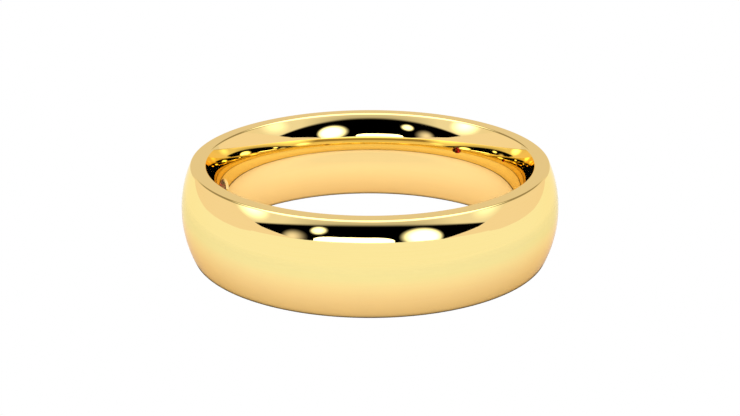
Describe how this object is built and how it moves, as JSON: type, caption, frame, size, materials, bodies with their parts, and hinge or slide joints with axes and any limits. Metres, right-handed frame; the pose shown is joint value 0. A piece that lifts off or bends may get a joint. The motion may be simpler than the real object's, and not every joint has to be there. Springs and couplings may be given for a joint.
{
  "type": "wedding band",
  "caption": "Plain court wedding band, domed outside and inside with flat polished sides, and a small round red stone set flush inside it.",
  "frame": {"origin": "centre of the ring, on its axis and half way across the band", "axes": "+Z along the ring's axis, out of one side face; +X and +Y across the ring, with the stone inside the wall near -X"},
  "size_m": [0.02, 0.02, 0.005],
  "materials": {
    "yellow_gold": "mirror polish",
    "red_stone": "polished facets"
  },
  "bodies": {
    "root": {"band": "yellow_gold", "hidden_stone": "red_stone"}
  },
  "joints": []
}
